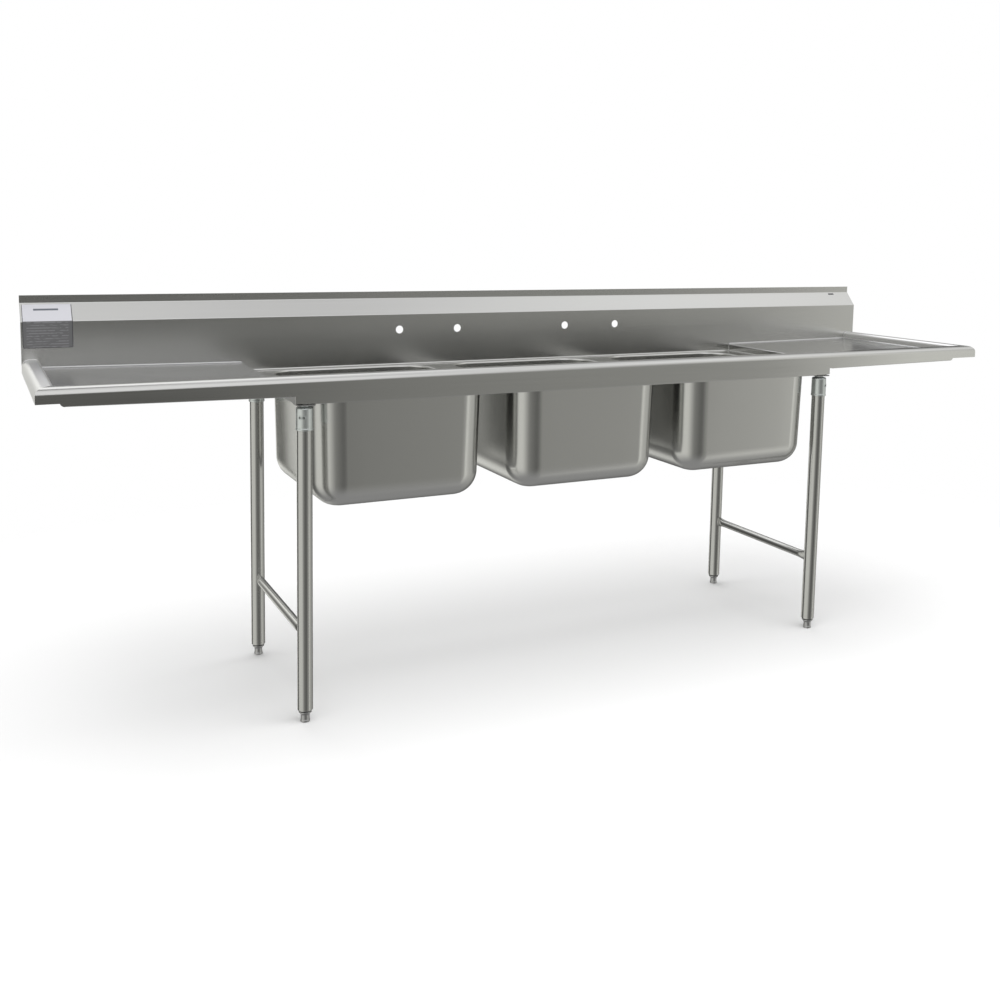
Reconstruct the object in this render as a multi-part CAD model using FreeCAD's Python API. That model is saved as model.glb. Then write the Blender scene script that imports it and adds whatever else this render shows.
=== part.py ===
"""Three compartment sink with a drainboard at each end, for a restaurant kitchen.

Units are millimetres. X runs along the sink, the front (the rolled rim) is at -Y, the backsplash
is at +Y and Z is up from the floor. The origin is on the floor, under the middle of the sink.
"""
import FreeCAD, Part
import math
import os

from FreeCAD import Vector

# ---- driving dimensions -------------------------------------------------------------------
SHEET = 1.6                     # 16 gauge stainless steel
LENGTH = 3048.0                 # 120 in over both drainboards
DEPTH = 626.0                   # front of the rim to the back of the splash
HEIGHT = 1118.0                 # floor to the top of the splash
RIM_TOP = 942.0                 # working height

SPLASH_SETBACK = 42.0           # splash face to the wall
SPLASH_BEND_Z = 1047.0          # where the splash starts to lean back
SPLASH_LIP_Z = 1096.0           # where it stands upright again
SPLASH_BEND_RADIUS = 4.0

RIM_WIDTH = 46.0
RIM_SKIRT = 38.0
RIM_RADIUS = 16.0

SECTION_HALF = 914.4            # the sink section is 72 in long, each drainboard 24 in
BOARD_OUTER_Z = 917.0           # the drainboards fall towards the bowls
BOARD_INNER_Z = 911.0
DECK_Z = 886.0                  # deck round the bowls

APRON_HALF = 901.0
APRON_BOTTOM = 862.0
APRON_FLANGE = 8.0
APRON_END_TAB = 18.0            # plain stretch of web at each end, past the flange
APRON_END_LIFT = 2.5
BOARD_CHANNEL_DROP = 28.0
BOARD_CHANNEL_CORNER = 12.0
BOARD_CHANNEL_INSET = 10.0
BOARD_CHANNEL_GAP = 0.5

BOWL_PITCH = 590.0
BOWL_WIDTH = 498.0              # outside, side to side at the top
BOWL_REACH = 511.0              # outside, front to back at the top
BOWL_DEPTH = 320.0
BOWL_DRAFT = 6.0                # how far each wall leans in by the bottom
BOWL_CORNER = 72.0
BOWL_COVE = 68.0
BOWL_FRONT_LEDGE = 9.0

DRAIN_HOLE_R = 44.5             # 3 1/2 in drain opening
DRAIN_FLANGE_R = 56.0
DRAIN_CUP_R = 42.0
DRAIN_CUP_DROP = 28.0
DRAIN_TAIL_R = 19.0
DRAIN_TAIL_DROP = 44.0

FAUCET_PAIR_X = 304.8           # one pair of holes over each divider
FAUCET_SPACING = 203.2          # 8 in centres
FAUCET_HOLE_R = 12.7
FAUCET_Z = 998.0

LEG_X = 873.0
LEG_FRONT_Y = -250.5
LEG_REAR_Y = 258.0
LEG_R = 20.65                   # 1 5/8 in tube
LEG_WALL = 1.6
LEG_BOTTOM = 34.0
LEG_TOP = 845.0
SOCKET_R = 23.0
SOCKET_BOTTOM = 793.0
SOCKET_TOP = 848.0
SOCKET_NECK_R = 17.0
SOCKET_CLEARANCE = 0.1
LEG_PLATE = 3.0
LEG_CHANNEL_HALF = 25.0
LEG_CHANNEL_WALL = 2.0

SCREW_Z = 828.0
SCREW_R = 3.0
SCREW_ANGLES = (224.0, 250.0)   # seen from above, for the legs on the left

RAIL_Z = 243.0
RAIL_R = 12.7                   # 1 in tube
RAIL_WALL = 1.5

FOOT_THREAD_R = 6.0
FOOT_BODY_R = 11.8
FOOT_PAD_R = 12.8
FOOT_SHOULDER_R = 17.5
FOOT_BODY_TOP = 30.0
FOOT_THREAD_TOP = 74.0
INSERT_HEIGHT = 26.0

LABEL_X = (-1519.0, -1388.0)
LABEL_TOP_RUN = 58.0            # length of label on the sloping band
LABEL_BOTTOM_Z = 973.0
LABEL_THICKNESS = 0.4
TAG_X = 1434.0
TAG_SIZE = (26.0, 6.0, 0.6)

# ---- derived places -----------------------------------------------------------------------
HALF = LENGTH / 2
FRONT_Y = -DEPTH / 2
WALL_Y = DEPTH / 2
SPLASH_Y = WALL_Y - SPLASH_SETBACK
RIM_INNER_Y = FRONT_Y + RIM_WIDTH
RIM_INNER_X = HALF - RIM_WIDTH
RIM_BOTTOM = RIM_TOP - RIM_SKIRT
DECK_UNDER = DECK_Z - SHEET
BOARD_SLOPE = (BOARD_OUTER_Z - BOARD_INNER_Z) / (RIM_INNER_X - SECTION_HALF)
BOWL_FRONT = RIM_INNER_Y + BOWL_FRONT_LEDGE
BOWL_BACK = BOWL_FRONT + BOWL_REACH
BOWL_MID_Y = (BOWL_FRONT + BOWL_BACK) / 2
BOWL_BOTTOM = DECK_UNDER - BOWL_DEPTH
BOWLS = (("left", -BOWL_PITCH), ("centre", 0.0), ("right", BOWL_PITCH))
SIDES = (("left", -1), ("right", 1))
SIGNS = (-1, 1)
LEGS = tuple(
    (end + "_" + side, sign * LEG_X, y)
    for end, y in (("front", LEG_FRONT_Y), ("rear", LEG_REAR_Y))
    for side, sign in SIDES
)


# ---- helpers ------------------------------------------------------------------------------
def save(shape, name):
    """Write one sub-part, and stop if it isn't sound."""
    if not shape.isValid() or shape.Volume <= 0:
        raise ValueError(name + " is not a sound solid")
    shape.exportStep("parts/" + name + ".step")


def box(x0, x1, y0, y1, z0, z1):
    return Part.makeBox(x1 - x0, y1 - y0, z1 - z0, Vector(x0, y0, z0))


def cylinder(radius, x, y, z0, z1):
    return Part.makeCylinder(radius, z1 - z0, Vector(x, y, z0))


def mirrored(shape):
    """The same piece on the right-hand side."""
    return shape.mirror(Vector(0, 0, 0), Vector(1, 0, 0))


def for_side(shape, sign):
    return shape if sign < 0 else mirrored(shape)


def polygon_prism(points, direction):
    """Extrude a closed polygon of 3-D points."""
    face = Part.Face(Part.makePolygon(list(points) + [points[0]]))
    return face.extrude(direction)


def revolve(profile, x, y):
    """Turn a list of (radius, z) points about a vertical axis."""
    points = [Vector(r, 0, z) for r, z in profile]
    face = Part.Face(Part.makePolygon(points + [points[0]]))
    solid = face.revolve(Vector(0, 0, 0), Vector(0, 0, 1), 360)
    solid.translate(Vector(x, y, 0))
    return solid


def unit(a, b):
    length = math.hypot(b[0] - a[0], b[1] - a[1])
    return (b[0] - a[0]) / length, (b[1] - a[1]) / length


def offset_points(points, distance):
    """Move an open polyline sideways, to the right of its direction."""
    moved = []
    for i, (y, z) in enumerate(points):
        before = unit(points[i - 1], points[i]) if i > 0 else unit(points[0], points[1])
        after = unit(points[i], points[i + 1]) if i < len(points) - 1 else before
        ny, nz = before[1] + after[1], -(before[0] + after[0])
        scale = distance / (1 + before[0] * after[0] + before[1] * after[1])
        moved.append((y + ny * scale, z + nz * scale))
    return moved


def turn(points, i):
    """Positive where the polyline turns left at point i."""
    before = unit(points[i - 1], points[i])
    after = unit(points[i], points[i + 1])
    return before[0] * after[1] - before[1] * after[0]


def rounded_edges(points, radii):
    """Straight runs joined by arcs, in the YZ plane."""
    edges = []
    start = points[0]
    for i in range(1, len(points) - 1):
        back = unit(points[i], points[i - 1])
        ahead = unit(points[i], points[i + 1])
        half = math.acos(back[0] * ahead[0] + back[1] * ahead[1]) / 2
        reach = radii[i - 1] / math.tan(half)
        enter = (points[i][0] + back[0] * reach, points[i][1] + back[1] * reach)
        leave = (points[i][0] + ahead[0] * reach, points[i][1] + ahead[1] * reach)
        inward = unit((0, 0), (back[0] + ahead[0], back[1] + ahead[1]))
        dip = radii[i - 1] / math.sin(half) - radii[i - 1]
        middle = (points[i][0] + inward[0] * dip, points[i][1] + inward[1] * dip)
        edges.append(Part.makeLine(Vector(0, *start), Vector(0, *enter)))
        edges.append(Part.Arc(Vector(0, *enter), Vector(0, *middle), Vector(0, *leave)).toShape())
        start = leave
    edges.append(Part.makeLine(Vector(0, *start), Vector(0, *points[-1])))
    return edges


def sheet_profile(points, radii, thickness):
    """A bent sheet's section: the points are one face, the metal lies to the right of them."""
    other = offset_points(points, thickness)
    other_radii = [r + thickness * (1 if turn(points, i + 1) > 0 else -1) for i, r in enumerate(radii)]
    edges = rounded_edges(points, radii) + rounded_edges(other, other_radii)
    edges.append(Part.makeLine(Vector(0, *points[0]), Vector(0, *other[0])))
    edges.append(Part.makeLine(Vector(0, *points[-1]), Vector(0, *other[-1])))
    return Part.Face(Part.Wire(Part.__sortEdges__(edges)))


def along_x(face, x0, x1):
    face.translate(Vector(x0, 0, 0))
    return face.extrude(Vector(x1 - x0, 0, 0))


def rounded_rectangle(x0, x1, y0, y1, z, radius):
    """A closed wire with round corners, level at height z."""
    corners = [(x1 - radius, y1 - radius, 0), (x0 + radius, y1 - radius, 90),
               (x0 + radius, y0 + radius, 180), (x1 - radius, y0 + radius, 270)]
    edges = []
    ends = []
    for cx, cy, start in corners:
        circle = Part.Circle(Vector(cx, cy, z), Vector(0, 0, 1), radius)
        arc = circle.toShape(math.radians(start), math.radians(start + 90))
        edges.append(arc)
        ends.append((arc.valueAt(arc.FirstParameter), arc.valueAt(arc.LastParameter)))
    for i in range(4):
        edges.append(Part.makeLine(ends[i][1], ends[(i + 1) % 4][0]))
    return Part.Wire(Part.__sortEdges__(edges))


def board_z(x):
    """Height of a drainboard's top face at x."""
    return BOARD_INNER_Z + BOARD_SLOPE * (abs(x) - SECTION_HALF)


# ---- top: splash, rim, drainboards, deck --------------------------------------------------
def backsplash():
    points = [(SPLASH_Y, DECK_UNDER), (SPLASH_Y, SPLASH_BEND_Z),
              (WALL_Y - SHEET, SPLASH_LIP_Z), (WALL_Y - SHEET, HEIGHT)]
    sheet = along_x(sheet_profile(points, [SPLASH_BEND_RADIUS] * 2, SHEET), -HALF, HALF)
    for sign in SIGNS:
        notch = box(-HALF - 1, -SECTION_HALF, SPLASH_Y - 1, WALL_Y, DECK_UNDER - 1, RIM_BOTTOM)
        sheet = sheet.cut(for_side(notch, sign))
    for pair in (-FAUCET_PAIR_X, FAUCET_PAIR_X):
        for step in (-FAUCET_SPACING / 2, FAUCET_SPACING / 2):
            hole = Part.makeCylinder(FAUCET_HOLE_R, 20, Vector(pair + step, SPLASH_Y - 10, FAUCET_Z),
                                     Vector(0, 1, 0))
            sheet = sheet.cut(hole)
    return sheet


def rim_points(inner_bottom):
    """Section of the rolled rim, from the skirt's lower edge over the top and down inside."""
    return [(FRONT_Y, RIM_BOTTOM), (FRONT_Y, RIM_TOP), (RIM_INNER_Y, RIM_TOP), (RIM_INNER_Y, inner_bottom)]


def below_board(sign):
    """Everything under the top face of one drainboard, inside the rim's skirt."""
    reach = HALF - SHEET - 2
    points = [Vector(-reach, FRONT_Y + SHEET + 2, board_z(reach)),
              Vector(-SECTION_HALF, FRONT_Y + SHEET + 2, board_z(SECTION_HALF)),
              Vector(-SECTION_HALF, FRONT_Y + SHEET + 2, RIM_BOTTOM - 60),
              Vector(-reach, FRONT_Y + SHEET + 2, RIM_BOTTOM - 60)]
    return for_side(polygon_prism(points, Vector(0, DEPTH, 0)), sign)


def mitre(sign):
    """The corner outside the mitre line, which belongs to the side rim."""
    points = [Vector(-HALF - 10, FRONT_Y - 10, RIM_BOTTOM - 60),
              Vector(-HALF + DEPTH, FRONT_Y + DEPTH, RIM_BOTTOM - 60),
              Vector(-HALF - 10, FRONT_Y + DEPTH, RIM_BOTTOM - 60)]
    return for_side(polygon_prism(points, Vector(0, 0, 200)), sign)


def front_rim():
    section = sheet_profile(rim_points(DECK_UNDER), [RIM_RADIUS] * 2, SHEET)
    rim = along_x(section, -HALF, HALF)
    for sign in SIGNS:
        rim = rim.cut(mitre(sign)).cut(below_board(sign))
    return rim


def side_rim(sign):
    section = sheet_profile(rim_points(DECK_UNDER), [RIM_RADIUS] * 2, SHEET)
    rim = along_x(section, 0, DEPTH)
    rim.rotate(Vector(0, FRONT_Y, 0), Vector(0, 0, 1), -90)
    rim.translate(Vector(-HALF, DEPTH, 0))
    rim = rim.common(box(-HALF, -RIM_INNER_X, FRONT_Y, SPLASH_Y, DECK_UNDER, RIM_TOP))
    rim = rim.common(mitre(-1)).cut(below_board(-1))
    return for_side(rim, sign)


def drainboard(sign):
    outer = RIM_INNER_X + SHEET
    points = [Vector(-outer, RIM_INNER_Y - SHEET, board_z(outer)),
              Vector(-SECTION_HALF, RIM_INNER_Y - SHEET, board_z(SECTION_HALF)),
              Vector(-SECTION_HALF, RIM_INNER_Y - SHEET, board_z(SECTION_HALF) - SHEET),
              Vector(-outer, RIM_INNER_Y - SHEET, board_z(outer) - SHEET)]
    return for_side(polygon_prism(points, Vector(0, SPLASH_Y - RIM_INNER_Y + SHEET, 0)), sign)


def channel_prism(outer, y, drop, height, width):
    """A strip under a drainboard, out to x = outer, with its foot parallel to the board."""
    inner_foot = BOARD_INNER_Z - drop
    outer_foot = BOARD_OUTER_Z - drop
    points = [Vector(-outer, y, outer_foot + height), Vector(-SECTION_HALF, y, inner_foot + height),
              Vector(-SECTION_HALF, y, inner_foot), Vector(-outer, y, outer_foot)]
    return polygon_prism(points, Vector(0, width, 0))


def drainboard_channel(sign):
    """Stiffener under a drainboard's front edge: an upright web with a flange along its foot."""
    outer = RIM_INNER_X - BOARD_CHANNEL_INSET
    height = BOARD_CHANNEL_DROP - SHEET - BOARD_CHANNEL_GAP
    web = channel_prism(outer, RIM_INNER_Y - SHEET, BOARD_CHANNEL_DROP, height, SHEET)
    ends = [e for e in web.Edges if abs(e.CenterOfMass.x + outer) < 0.1 and e.Length < SHEET * 1.1]
    web = web.makeFillet(BOARD_CHANNEL_CORNER, [min(ends, key=lambda e: e.CenterOfMass.z)])
    flange = channel_prism(outer - BOARD_CHANNEL_CORNER, RIM_INNER_Y, BOARD_CHANNEL_DROP - 0.1, SHEET,
                           APRON_FLANGE)
    return for_side(web.fuse(flange).removeSplitter(), sign)


def sink_deck():
    """Level deck with three openings, turned up at each end to meet the drainboards."""
    deck = box(-SECTION_HALF, SECTION_HALF, RIM_INNER_Y, SPLASH_Y, DECK_UNDER, DECK_Z)
    for _, x in BOWLS:
        wire = rounded_rectangle(x - BOWL_WIDTH / 2 + SHEET, x + BOWL_WIDTH / 2 - SHEET,
                                 BOWL_FRONT + SHEET, BOWL_BACK - SHEET, DECK_UNDER - 1, BOWL_CORNER - SHEET)
        deck = deck.cut(Part.Face(wire).extrude(Vector(0, 0, SHEET + 2)))
    for sign in SIGNS:
        riser = box(-SECTION_HALF, -SECTION_HALF + SHEET, RIM_INNER_Y, SPLASH_Y, DECK_Z, BOARD_INNER_Z)
        deck = deck.fuse(for_side(riser, sign))
    return deck.removeSplitter()


def apron():
    """Front stiffener under the deck: an upright web with a flange along its foot, short of each end."""
    inner = APRON_HALF - APRON_END_TAB
    web = box(-APRON_HALF, APRON_HALF, RIM_INNER_Y - SHEET, RIM_INNER_Y,
              APRON_BOTTOM + APRON_END_LIFT, DECK_UNDER)
    foot = box(-inner, inner, RIM_INNER_Y - SHEET, RIM_INNER_Y, APRON_BOTTOM, DECK_UNDER)
    flange = box(-inner, inner, RIM_INNER_Y, RIM_INNER_Y + APRON_FLANGE, APRON_BOTTOM, APRON_BOTTOM + SHEET)
    return web.fuse(foot).fuse(flange).removeSplitter()


# ---- bowls and drains ---------------------------------------------------------------------
def bowl_body(x, shrink):
    """A bowl's outside, or its inside when shrunk by the thickness of the sheet."""
    top = DECK_UNDER + (1 if shrink else 0)
    bottom = BOWL_BOTTOM + shrink
    wires = []
    for z, lean in ((top, 0.0), (bottom, BOWL_DRAFT)):
        inset = shrink + lean
        wires.append(rounded_rectangle(x - BOWL_WIDTH / 2 + inset, x + BOWL_WIDTH / 2 - inset,
                                       BOWL_FRONT + inset, BOWL_BACK - inset, z, BOWL_CORNER - shrink))
    body = Part.makeLoft(wires, True, True)
    rim = [e for e in body.Edges if abs(e.BoundBox.ZMax - bottom) < 0.01 and e.BoundBox.ZLength < 0.01]
    return body.makeFillet(BOWL_COVE - shrink, rim)


def bowl(x):
    shell = bowl_body(x, 0.0).cut(bowl_body(x, SHEET))
    return shell.cut(cylinder(DRAIN_HOLE_R, x, BOWL_MID_Y, BOWL_BOTTOM - 1, BOWL_BOTTOM + SHEET + 1))


def drain_body(x):
    """Flange inside the bowl, cup through its floor, and a threaded tail below."""
    floor = BOWL_BOTTOM + SHEET
    profile = [(DRAIN_CUP_R - 2, floor + 1.0), (DRAIN_CUP_R, floor + 2.0), (DRAIN_FLANGE_R - 2, floor + 2.0),
               (DRAIN_FLANGE_R, floor), (DRAIN_CUP_R + 1.6, floor),
               (DRAIN_CUP_R + 1.6, BOWL_BOTTOM - DRAIN_CUP_DROP),
               (DRAIN_TAIL_R, BOWL_BOTTOM - DRAIN_CUP_DROP - 2),
               (DRAIN_TAIL_R, BOWL_BOTTOM - DRAIN_TAIL_DROP),
               (DRAIN_TAIL_R - 2, BOWL_BOTTOM - DRAIN_TAIL_DROP),
               (DRAIN_TAIL_R - 2, BOWL_BOTTOM - DRAIN_CUP_DROP),
               (DRAIN_CUP_R - 2, BOWL_BOTTOM - DRAIN_CUP_DROP + 2)]
    return revolve(profile, x, BOWL_MID_Y)


def drain_gasket(x):
    ring = cylinder(DRAIN_FLANGE_R - 1, x, BOWL_MID_Y, BOWL_BOTTOM - 3, BOWL_BOTTOM)
    return ring.cut(cylinder(DRAIN_CUP_R + 1.6, x, BOWL_MID_Y, BOWL_BOTTOM - 4, BOWL_BOTTOM + 1))


def drain_locknut(x):
    """Ring nut with six lugs, clamping the gasket against the bowl."""
    top = BOWL_BOTTOM - 3
    bottom = top - 12
    nut = cylinder(DRAIN_FLANGE_R - 3, x, BOWL_MID_Y, bottom, top)
    for k in range(6):
        lug = box(DRAIN_FLANGE_R - 6, DRAIN_FLANGE_R + 3, -5, 5, bottom, top)
        lug.rotate(Vector(0, 0, 0), Vector(0, 0, 1), 60 * k)
        lug.translate(Vector(x, BOWL_MID_Y, 0))
        nut = nut.fuse(lug)
    nut = nut.cut(cylinder(DRAIN_CUP_R + 1.6, x, BOWL_MID_Y, bottom - 1, top + 1))
    return nut.removeSplitter()


def strainer_basket(x):
    """Perforated cup that lifts out of the drain, with a knob to lift it by."""
    floor = BOWL_BOTTOM + SHEET
    cup_top = floor + 2.8
    cup_bottom = floor - 24
    radius = DRAIN_CUP_R - 4
    profile = [(0, cup_bottom + 1.2), (radius - 7.2, cup_bottom + 1.2), (radius - 1.2, cup_top - 1.0),
               (radius + 6, cup_top - 0.2), (radius + 6, cup_top + 1.0), (radius - 1.8, cup_top + 0.6),
               (radius - 8, cup_bottom + 2.4), (5, cup_bottom + 2.4), (3, cup_bottom + 4),
               (3, cup_top - 2), (7, cup_top), (7, cup_top + 5), (4, cup_top + 7), (0, cup_top + 7)]
    basket = revolve(profile, x, BOWL_MID_Y)
    for ring, count in ((12.0, 8), (22.0, 14)):
        for k in range(count):
            angle = 2 * math.pi * k / count
            basket = basket.cut(cylinder(2.2, x + ring * math.cos(angle), BOWL_MID_Y + ring * math.sin(angle),
                                         cup_bottom, cup_bottom + 3))
    return basket


# ---- stand --------------------------------------------------------------------------------
def leg_channel(sign):
    """Front-to-back channel under the deck, open upwards, that carries two legs."""
    y0 = RIM_INNER_Y + APRON_FLANGE + 1
    y1 = LEG_REAR_Y + LEG_CHANNEL_HALF
    outer = box(-LEG_X - LEG_CHANNEL_HALF, -LEG_X + LEG_CHANNEL_HALF, y0, y1, APRON_BOTTOM, DECK_UNDER)
    hollow = box(-LEG_X - LEG_CHANNEL_HALF + LEG_CHANNEL_WALL, -LEG_X + LEG_CHANNEL_HALF - LEG_CHANNEL_WALL,
                 y0 - 1, y1 + 1, APRON_BOTTOM + LEG_CHANNEL_WALL, DECK_UNDER + 1)
    return for_side(outer.cut(hollow), sign)


def leg_socket(x, y):
    """Zinc socket on a square plate: a neck, then the cup that the leg slides into."""
    front = max(y - LEG_CHANNEL_HALF, RIM_INNER_Y + 1)
    plate = box(x - LEG_CHANNEL_HALF, x + LEG_CHANNEL_HALF, front, y + LEG_CHANNEL_HALF,
                APRON_BOTTOM - LEG_PLATE, APRON_BOTTOM)
    neck = cylinder(SOCKET_NECK_R, x, y, SOCKET_TOP - 1, APRON_BOTTOM - LEG_PLATE)
    cup = cylinder(SOCKET_R, x, y, SOCKET_BOTTOM, SOCKET_TOP)
    cup = cup.makeChamfer(2.5, [cup.Edges[0]])
    socket = plate.fuse(neck).fuse(cup)
    socket = socket.cut(cylinder(LEG_R + SOCKET_CLEARANCE, x, y, SOCKET_BOTTOM - 1, LEG_TOP))
    for screw in screws_at(x, y):
        socket = socket.cut(screw)
    return socket.removeSplitter()


def screws_at(x, y):
    """The two set screws of one socket, from the leg's surface outwards."""
    screws = []
    for angle in SCREW_ANGLES:
        turned = math.radians(angle if x < 0 else 180 - angle)
        direction = Vector(math.cos(turned), math.sin(turned), 0)
        start = Vector(x, y, SCREW_Z) + direction * (LEG_R + SOCKET_CLEARANCE)
        screws.append(Part.makeCylinder(SCREW_R, SOCKET_R - LEG_R + 1.5, start, direction))
    return screws


def set_screws():
    return Part.makeCompound([screw for _, x, y in LEGS for screw in screws_at(x, y)])


def leg(x, y):
    tube = cylinder(LEG_R, x, y, LEG_BOTTOM, LEG_TOP)
    return tube.cut(cylinder(LEG_R - LEG_WALL, x, y, LEG_BOTTOM - 1, LEG_TOP + 1))


def crossrail(sign):
    """Tube from the front leg to the rear leg, its ends shaped to the legs."""
    length = LEG_REAR_Y - LEG_FRONT_Y
    start = Vector(-LEG_X, LEG_FRONT_Y, RAIL_Z)
    rail = Part.makeCylinder(RAIL_R, length, start, Vector(0, 1, 0))
    rail = rail.cut(Part.makeCylinder(RAIL_R - RAIL_WALL, length, start, Vector(0, 1, 0)))
    for y in (LEG_FRONT_Y, LEG_REAR_Y):
        rail = rail.cut(cylinder(LEG_R, -LEG_X, y, RAIL_Z - 50, RAIL_Z + 50))
    return for_side(rail, sign)


def foot_insert(x, y):
    """Threaded plug pressed into the bottom of a leg."""
    plug = cylinder(LEG_R - LEG_WALL, x, y, LEG_BOTTOM + 1, LEG_BOTTOM + 1 + INSERT_HEIGHT)
    return plug.cut(cylinder(FOOT_THREAD_R + 0.05, x, y, LEG_BOTTOM, LEG_BOTTOM + 2 + INSERT_HEIGHT))


def foot(x, y):
    """Adjustable bullet foot: a body that flares to a shoulder under the leg, and a threaded stem."""
    profile = [(0, 0), (FOOT_PAD_R - 2, 0), (FOOT_PAD_R, 2), (FOOT_PAD_R, 5), (FOOT_BODY_R, 7),
               (FOOT_BODY_R, FOOT_BODY_TOP - 8), (FOOT_SHOULDER_R, FOOT_BODY_TOP - 2),
               (FOOT_SHOULDER_R, FOOT_BODY_TOP), (FOOT_THREAD_R, FOOT_BODY_TOP),
               (FOOT_THREAD_R, FOOT_THREAD_TOP - 1.5),
               (FOOT_THREAD_R - 1.5, FOOT_THREAD_TOP), (0, FOOT_THREAD_TOP)]
    return revolve(profile, x, y)


# ---- small plates -------------------------------------------------------------------------
def slope_direction():
    return unit((SPLASH_Y, SPLASH_BEND_Z), (WALL_Y - SHEET, SPLASH_LIP_Z))


def label():
    """Blank adhesive label at the left end, folded over the bend in the splash."""
    dy, dz = slope_direction()
    points = [(SPLASH_Y, LABEL_BOTTOM_Z), (SPLASH_Y, SPLASH_BEND_Z),
              (SPLASH_Y + dy * LABEL_TOP_RUN, SPLASH_BEND_Z + dz * LABEL_TOP_RUN)]
    face = sheet_profile(list(reversed(points)), [SPLASH_BEND_RADIUS], LABEL_THICKNESS)
    return along_x(face, LABEL_X[0], LABEL_X[1])


def serial_tag():
    """Small blank tag on the sloping band, near the right end."""
    width, height, thickness = TAG_SIZE
    dy, dz = slope_direction()
    along = 0.82 * math.hypot(WALL_Y - SHEET - SPLASH_Y, SPLASH_LIP_Z - SPLASH_BEND_Z)
    tag = box(TAG_X - width / 2, TAG_X + width / 2, -thickness, 0, 0, height)
    tag.rotate(Vector(0, 0, 0), Vector(1, 0, 0), -math.degrees(math.atan2(dy, dz)))
    tag.translate(Vector(0, SPLASH_Y + dy * along, SPLASH_BEND_Z + dz * along))
    return tag


# ---- write every sub-part -----------------------------------------------------------------
def main():
    os.makedirs("parts", exist_ok=True)
    save(backsplash(), "backsplash")
    save(front_rim(), "front_rim")
    save(sink_deck(), "sink_deck")
    save(apron(), "apron")
    save(label(), "label")
    save(serial_tag(), "serial_tag")
    save(set_screws(), "set_screws")
    for side, sign in SIDES:
        save(side_rim(sign), "side_rim_" + side)
        save(drainboard(sign), "drainboard_" + side)
        save(drainboard_channel(sign), "drainboard_channel_" + side)
        save(leg_channel(sign), "leg_channel_" + side)
        save(crossrail(sign), "crossrail_" + side)
    for name, x in BOWLS:
        save(bowl(x), "bowl_" + name)
        save(drain_body(x), "drain_body_" + name)
        save(drain_gasket(x), "drain_gasket_" + name)
        save(drain_locknut(x), "drain_locknut_" + name)
        save(strainer_basket(x), "strainer_basket_" + name)
    for name, x, y in LEGS:
        save(leg_socket(x, y), "leg_socket_" + name)
        save(leg(x, y), "leg_" + name)
        save(foot_insert(x, y), "foot_insert_" + name)
        save(foot(x, y), "foot_" + name)


main()
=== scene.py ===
"""Looks of the three compartment sink: formed sheet steel, drawn bowls, tube legs, light and camera.

Units are metres. X runs along the sink, the front is at -Y, the backsplash is at +Y, Z is up.
"""
import math

import bmesh
import bpy
from mathutils import Matrix, Vector

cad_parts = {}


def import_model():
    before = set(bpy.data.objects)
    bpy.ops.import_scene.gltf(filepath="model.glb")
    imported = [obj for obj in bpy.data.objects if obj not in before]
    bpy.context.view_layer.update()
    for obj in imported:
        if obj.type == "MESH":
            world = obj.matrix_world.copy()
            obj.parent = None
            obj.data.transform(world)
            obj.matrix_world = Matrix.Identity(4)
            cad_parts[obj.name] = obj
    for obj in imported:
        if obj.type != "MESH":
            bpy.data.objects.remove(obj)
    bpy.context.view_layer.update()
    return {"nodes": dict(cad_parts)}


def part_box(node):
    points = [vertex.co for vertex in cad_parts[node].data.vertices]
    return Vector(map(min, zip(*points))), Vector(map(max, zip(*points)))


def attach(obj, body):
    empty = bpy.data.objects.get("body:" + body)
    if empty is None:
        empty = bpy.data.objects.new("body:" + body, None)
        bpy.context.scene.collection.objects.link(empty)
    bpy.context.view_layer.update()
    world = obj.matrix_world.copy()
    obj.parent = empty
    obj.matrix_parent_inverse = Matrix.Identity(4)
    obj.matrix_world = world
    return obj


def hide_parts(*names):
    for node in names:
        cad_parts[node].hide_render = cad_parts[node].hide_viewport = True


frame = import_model()

# ---- dimensions that the CAD boxes don't give --------------------------------------------
SHEET = 0.0016
SPLASH_BEND_Z = 1.047
SPLASH_LIP_Z = 1.096
SPLASH_BEND_R = 0.004
FAUCET_PAIR_X = 0.3048
FAUCET_SPACING = 0.2032
FAUCET_Z = 0.998
FAUCET_R = 0.0127

RIM_SKIRT = 0.038
RIM_R = 0.019
RIM_INNER_R = 0.0114
RIM_CROWN = 0.0006              # how far the rim's top rises towards the bowls
RIM_STEP = 0.0005               # half the run of the step where the rim's inner wall gets deeper
BOARD_FALL = 0.006
COVE_R = 0.0045                 # inside corners between the pans and the walls round them
EDGE_R = 0.004                  # outside bends
CREASE = 0.0028                 # depth of the folds that drain a drainboard
OPENING_R = 0.006

APRON_TAB = 0.018
APRON_LIFT = 0.0025             # how much higher the apron's end tabs stop than its fold
FLANGE = 0.008
CHANNEL_DROP = 0.028
CHANNEL_CORNER = 0.012
CHANNEL_GAP = 0.0021            # from a pan's top face down to the channel under it
FOLD_R = 0.0024

BOWL_DRAFT = 0.006
BOWL_CORNER = 0.080
BOWL_COVE = 0.074
BOWL_DISH = 0.0015
DRAIN_HOLE_R = 0.0445
CORNER_STEPS = 14               # divisions round each corner of a bowl
SIDE_STEPS = 6                  # divisions along each side of a bowl

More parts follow.
